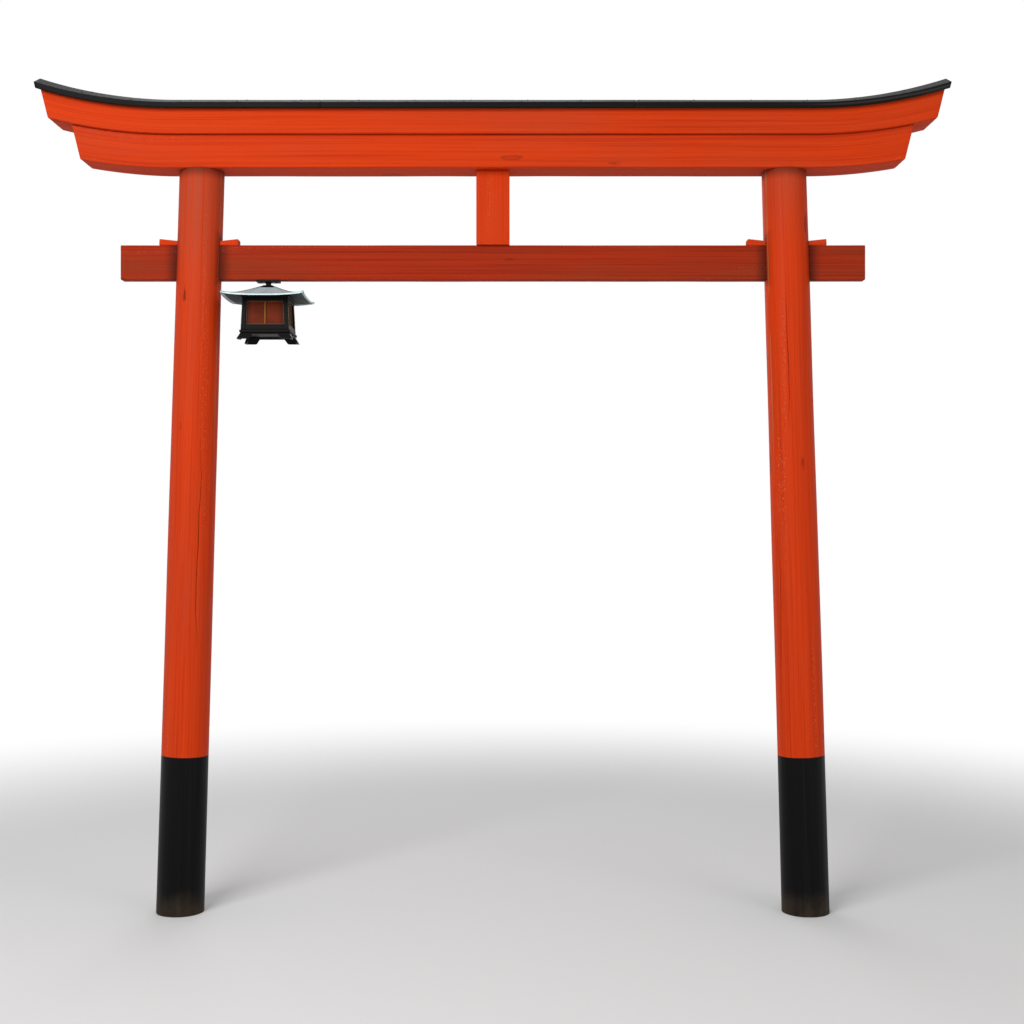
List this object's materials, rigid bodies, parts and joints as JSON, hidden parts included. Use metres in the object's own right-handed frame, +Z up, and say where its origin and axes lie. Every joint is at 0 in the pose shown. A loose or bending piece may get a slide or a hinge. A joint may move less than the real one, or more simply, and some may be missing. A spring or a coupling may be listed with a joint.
{
  "type": "torii gate",
  "caption": "Shinto gateway of two leaning log posts with black feet, a wedged tie beam, two swept lintels under a boarded top, and a small lantern under the beam.",
  "frame": {"origin": "centre of the left post's foot face, on the ground, seen from the front", "axes": "+X to the right along the lintels, +Y to the back along the path through the gate, +Z up; the front faces -Y"},
  "size_m": [3.2928, 0.295, 3.026],
  "materials": {
    "vermilion_paint": "satin",
    "faded_vermilion": "matte",
    "black_paint": "satin",
    "black_metal": "satin",
    "roof_sheet": "satin",
    "pane_sheet": "matte"
  },
  "bodies": {
    "root": {"left_post": "vermilion_paint", "right_post": "vermilion_paint", "left_root_wrap": "black_paint", "right_root_wrap": "black_paint", "tie_beam": "faded_vermilion", "left_outer_wedge": "vermilion_paint", "left_inner_wedge": "vermilion_paint", "right_inner_wedge": "vermilion_paint", "right_outer_wedge": "vermilion_paint", "centre_strut": "vermilion_paint", "lower_lintel": "vermilion_paint", "top_lintel": "vermilion_paint", "front_weather_board": "black_paint", "back_weather_board": "black_paint", "lantern_plate": "black_metal", "lantern_roof": "roof_sheet", "lantern_ceiling": "black_paint", "lantern_frame": "black_paint", "lantern_front_pane": "pane_sheet", "lantern_back_pane": "pane_sheet", "lantern_left_pane": "pane_sheet", "lantern_right_pane": "pane_sheet", "lantern_floor": "black_paint", "lantern_feet": "black_paint"}
  },
  "joints": []
}
